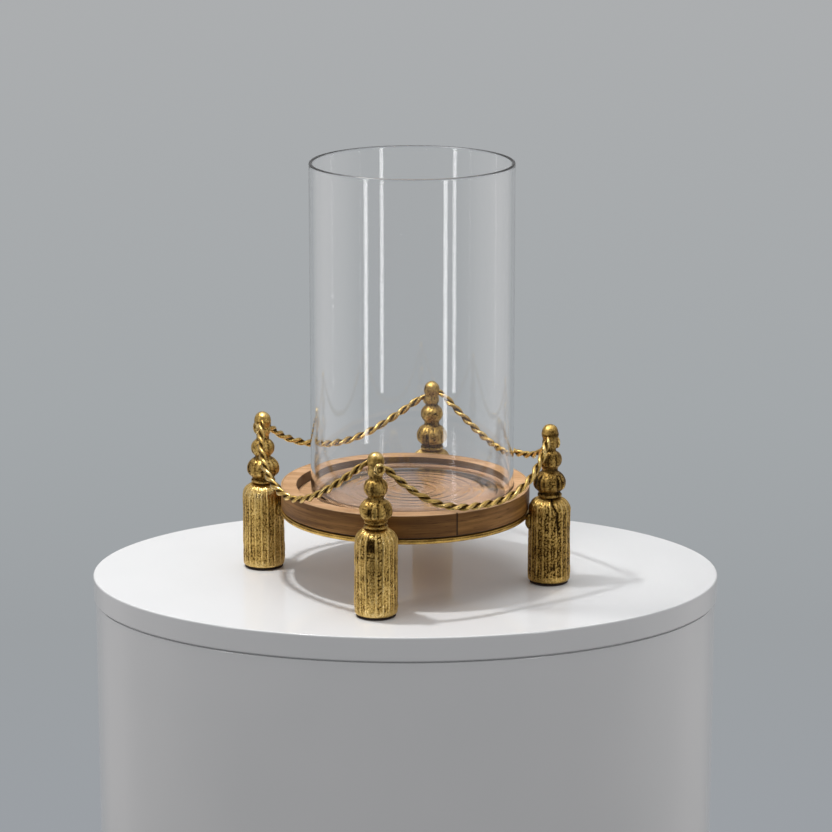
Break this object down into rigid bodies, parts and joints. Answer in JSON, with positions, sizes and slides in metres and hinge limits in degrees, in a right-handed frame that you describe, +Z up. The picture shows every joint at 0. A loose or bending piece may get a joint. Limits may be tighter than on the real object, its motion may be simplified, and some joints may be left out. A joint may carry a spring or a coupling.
{
  "type": "hurricane candle lantern",
  "caption": "Open glass cylinder in a round wooden tray on a ring, with tassel-shaped cast legs joined by swags of twisted wire.",
  "frame": {"origin": "on the table, at the centre of the circle that the four legs stand on", "axes": "+Z up; one leg each at -Y (front), +X (right), +Y (rear) and -X (left)"},
  "size_m": [0.248, 0.248, 0.31],
  "materials": {
    "cast_brass": "antique gold casting, brown patina in the hollows and polished high spots",
    "wire_brass": "antique gold drawn wire, dark between the strands",
    "ring_brass": "satin antique gold bar",
    "stud_steel": "plain threaded steel",
    "felt": "dark brown-red felt",
    "board_wood": "oiled light brown wood with straight grain",
    "band_wood": "oiled dark brown edge band with grain round the tray",
    "clear_glass": "clear, faintly green at the rim and heel"
  },
  "bodies": {
    "stand": {"tassel_skirt_front": "cast_brass", "tassel_skirt_right": "cast_brass", "tassel_skirt_rear": "cast_brass", "tassel_skirt_left": "cast_brass", "tassel_stem_front": "cast_brass", "tassel_stem_right": "cast_brass", "tassel_stem_rear": "cast_brass", "tassel_stem_left": "cast_brass", "wire_eyelet_front": "wire_brass", "wire_eyelet_right": "wire_brass", "wire_eyelet_rear": "wire_brass", "wire_eyelet_left": "wire_brass", "felt_pad_front": "felt", "felt_pad_right": "felt", "felt_pad_rear": "felt", "felt_pad_left": "felt", "swag_front_right_wire_a": "wire_brass", "swag_front_right_wire_b": "wire_brass", "swag_right_rear_wire_a": "wire_brass", "swag_right_rear_wire_b": "wire_brass", "swag_rear_left_wire_a": "wire_brass", "swag_rear_left_wire_b": "wire_brass", "swag_left_front_wire_a": "wire_brass", "swag_left_front_wire_b": "wire_brass", "stem_studs": "stud_steel", "tray_ring": "ring_brass", "ring_brazing": "wire_brass"},
    "tray": {"tray_board": "board_wood", "tray_edge_band": "band_wood"},
    "glass": {"glass_cylinder": "clear_glass"}
  },
  "joints": [
    {"name": "tray_lift", "type": "slide", "parent": "stand", "child": "tray", "axis": [0, 0, 1], "range_m": [0, 0.08]},
    {"name": "glass_lift", "type": "slide", "parent": "tray", "child": "glass", "axis": [0, 0, 1], "range_m": [0, 0.08]}
  ]
}
